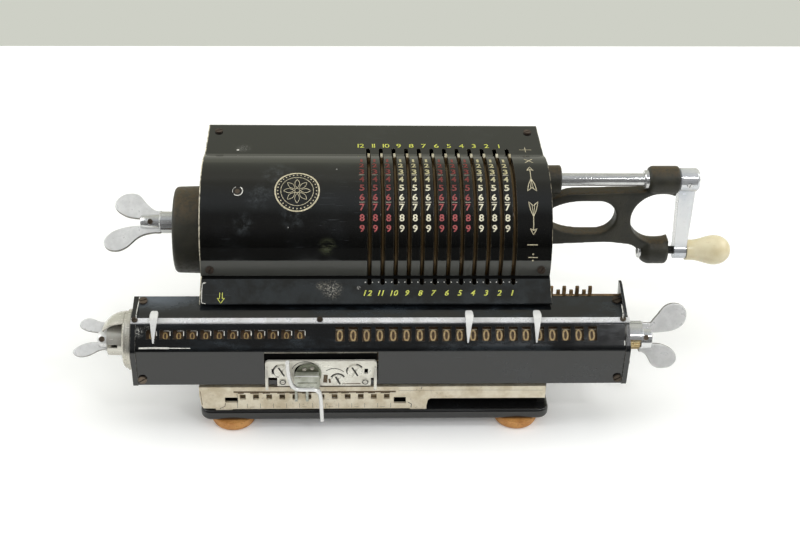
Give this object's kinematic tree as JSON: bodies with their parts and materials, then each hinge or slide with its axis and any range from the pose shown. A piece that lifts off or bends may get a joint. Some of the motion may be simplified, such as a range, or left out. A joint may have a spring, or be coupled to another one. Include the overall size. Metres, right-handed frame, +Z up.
{
  "type": "mechanical adding machine",
  "caption": "Hand-cranked pinwheel adding machine: curved black housing with slotted setting dial, sliding register carriage with wing nuts, and side crank with ivory knob.",
  "frame": {"origin": "bottom centre of the bounding box, on the table plane under the rubber feet", "axes": "+X to the operator's right along the drum and carriage axes, +Y to the rear, +Z up"},
  "size_m": [0.3691, 0.1376, 0.1241],
  "materials": {
    "black_enamel": "gloss",
    "frame_black": "satin",
    "cast_black": "rough",
    "chrome": "polished",
    "nickel": "satin",
    "steel": "satin",
    "dark_steel": "satin",
    "bronze": "satin",
    "brass": "satin",
    "wheel_brown": "satin",
    "gum_rubber": "matt",
    "ivory": "gloss"
  },
  "bodies": {
    "frame": {"base_plate": "black_enamel", "foot_1": "gum_rubber", "foot_2": "gum_rubber", "foot_3": "gum_rubber", "foot_4": "gum_rubber", "side_frame_left": "frame_black", "side_frame_right": "frame_black", "cover": "black_enamel", "rear_cover": "black_enamel", "cover_screws": "dark_steel", "drum_end_housing": "cast_black", "crank_bracket": "cast_black", "shaft_collar": "chrome", "home_bush": "steel", "shift_rack": "nickel", "rack_screws": "nickel", "carriage_rails": "steel"},
    "drum": {"drum_shaft": "steel", "pinwheels": "bronze", "drum_gear": "steel"},
    "drum_nut": {"drum_wing_nut": "chrome"},
    "crank": {"crank_shaft": "chrome", "crank_gear": "steel", "crank_arm": "chrome", "crank_screw": "steel"},
    "index_handle": {"index_pin": "dark_steel"},
    "knob": {"knob": "ivory"},
    "carriage": {"carriage_body": "black_enamel", "carriage_bearing": "steel", "end_plate_left": "frame_black", "end_plate_right": "frame_black", "pointer_rail": "chrome", "carriage_screws": "dark_steel", "bell_housing": "nickel", "ratchet_guard": "chrome", "shift_plate": "nickel", "shift_screws": "nickel", "tens_levers": "bronze"},
    "product_register": {"product_wheels": "wheel_brown", "product_wing_nut": "chrome", "product_ratchet": "brass"},
    "counter_register": {"counter_wheels": "wheel_brown", "counter_wing_nut": "chrome"},
    "pointer_1": {"pointer_1": "chrome"},
    "pointer_2": {"pointer_2": "chrome"},
    "pointer_3": {"pointer_3": "chrome"},
    "shift_lever": {"shift_lever": "chrome"},
    "shift_pawl": {"shift_pawl": "steel"},
    "setting_lever_1": {"setting_lever_1": "bronze"},
    "setting_lever_2": {"setting_lever_2": "bronze"},
    "setting_lever_3": {"setting_lever_3": "bronze"},
    "setting_lever_4": {"setting_lever_4": "bronze"},
    "setting_lever_5": {"setting_lever_5": "bronze"},
    "setting_lever_6": {"setting_lever_6": "bronze"},
    "setting_lever_7": {"setting_lever_7": "bronze"},
    "setting_lever_8": {"setting_lever_8": "bronze"},
    "setting_lever_9": {"setting_lever_9": "bronze"},
    "setting_lever_10": {"setting_lever_10": "bronze"},
    "setting_lever_11": {"setting_lever_11": "bronze"},
    "setting_lever_12": {"setting_lever_12": "bronze"}
  },
  "joints": [
    {"name": "drum_turn", "type": "hinge", "parent": "frame", "child": "drum", "pos_m": [-0.02435, 0.01247, 0.0835], "axis": [1, 0, 0], "continuous": true},
    {"name": "crank_turn", "type": "hinge", "parent": "frame", "child": "crank", "pos_m": [0.14965, 0.03438, 0.10093], "axis": [1, 0, 0], "continuous": true},
    {"name": "index_pull", "type": "slide", "parent": "crank", "child": "index_handle", "axis": [1, 0, 0], "range_m": [0, 0.0045], "stiffness_N_per_m": 300, "springref_m": -0.002},
    {"name": "knob_spin", "type": "hinge", "parent": "index_handle", "child": "knob", "pos_m": [0.16565, 0.03438, 0.05343], "axis": [1, 0, 0], "continuous": true},
    {"name": "drum_nut_turn", "type": "hinge", "parent": "frame", "child": "drum_nut", "pos_m": [-0.13935, 0.01247, 0.0858], "axis": [1, 0, 0], "continuous": true},
    {"name": "carriage_slide", "type": "slide", "parent": "frame", "child": "carriage", "axis": [1, 0, 0], "range_m": [-0.035, 0.042]},
    {"name": "product_clear", "type": "hinge", "parent": "carriage", "child": "product_register", "pos_m": [0.11565, -0.04453, 0.0485], "axis": [1, 0, 0], "continuous": true},
    {"name": "counter_clear", "type": "hinge", "parent": "carriage", "child": "counter_register", "pos_m": [-0.16435, -0.04453, 0.0485], "axis": [1, 0, 0], "continuous": true},
    {"name": "pointer_1_slide", "type": "slide", "parent": "carriage", "child": "pointer_1", "axis": [1, 0, 0], "range_m": [0, 0.082]},
    {"name": "pointer_2_slide", "type": "slide", "parent": "carriage", "child": "pointer_2", "axis": [1, 0, 0], "range_m": [-0.072, 0.03]},
    {"name": "pointer_3_slide", "type": "slide", "parent": "carriage", "child": "pointer_3", "axis": [1, 0, 0], "range_m": [-0.03, 0.036]},
    {"name": "shift_lever_swing", "type": "hinge", "parent": "carriage", "child": "shift_lever", "pos_m": [-0.06185, -0.06253, 0.04], "axis": [0, 1, 0], "range_deg": [-12, 12], "stiffness_Nm_per_rad": 0.15},
    {"name": "shift_pawl_swing", "type": "hinge", "parent": "carriage", "child": "shift_pawl", "pos_m": [-0.06405, -0.06273, 0.03], "axis": [1, 0, 0], "range_deg": [0, 8]},
    {"name": "setting_lever_1_set", "type": "hinge", "parent": "drum", "child": "setting_lever_1", "pos_m": [0.04895, 0.01247, 0.0835], "axis": [1, 0, 0], "range_deg": [0, 72.9]},
    {"name": "setting_lever_2_set", "type": "hinge", "parent": "drum", "child": "setting_lever_2", "pos_m": [0.04195, 0.01247, 0.0835], "axis": [1, 0, 0], "range_deg": [0, 72.9]},
    {"name": "setting_lever_3_set", "type": "hinge", "parent": "drum", "child": "setting_lever_3", "pos_m": [0.03495, 0.01247, 0.0835], "axis": [1, 0, 0], "range_deg": [0, 72.9]},
    {"name": "setting_lever_4_set", "type": "hinge", "parent": "drum", "child": "setting_lever_4", "pos_m": [0.02795, 0.01247, 0.0835], "axis": [1, 0, 0], "range_deg": [0, 72.9]},
    {"name": "setting_lever_5_set", "type": "hinge", "parent": "drum", "child": "setting_lever_5", "pos_m": [0.02095, 0.01247, 0.0835], "axis": [1, 0, 0], "range_deg": [0, 72.9]},
    {"name": "setting_lever_6_set", "type": "hinge", "parent": "drum", "child": "setting_lever_6", "pos_m": [0.01395, 0.01247, 0.0835], "axis": [1, 0, 0], "range_deg": [0, 72.9]},
    {"name": "setting_lever_7_set", "type": "hinge", "parent": "drum", "child": "setting_lever_7", "pos_m": [0.00695, 0.01247, 0.0835], "axis": [1, 0, 0], "range_deg": [0, 72.9]},
    {"name": "setting_lever_8_set", "type": "hinge", "parent": "drum", "child": "setting_lever_8", "pos_m": [-0.00005, 0.01247, 0.0835], "axis": [1, 0, 0], "range_deg": [0, 72.9]},
    {"name": "setting_lever_9_set", "type": "hinge", "parent": "drum", "child": "setting_lever_9", "pos_m": [-0.00705, 0.01247, 0.0835], "axis": [1, 0, 0], "range_deg": [0, 72.9]},
    {"name": "setting_lever_10_set", "type": "hinge", "parent": "drum", "child": "setting_lever_10", "pos_m": [-0.01405, 0.01247, 0.0835], "axis": [1, 0, 0], "range_deg": [0, 72.9]},
    {"name": "setting_lever_11_set", "type": "hinge", "parent": "drum", "child": "setting_lever_11", "pos_m": [-0.02105, 0.01247, 0.0835], "axis": [1, 0, 0], "range_deg": [0, 72.9]},
    {"name": "setting_lever_12_set", "type": "hinge", "parent": "drum", "child": "setting_lever_12", "pos_m": [-0.02805, 0.01247, 0.0835], "axis": [1, 0, 0], "range_deg": [0, 72.9]}
  ],
  "couplings": [
    {"joint": "crank_turn", "follows": "drum_turn", "ratio": -1}
  ]
}
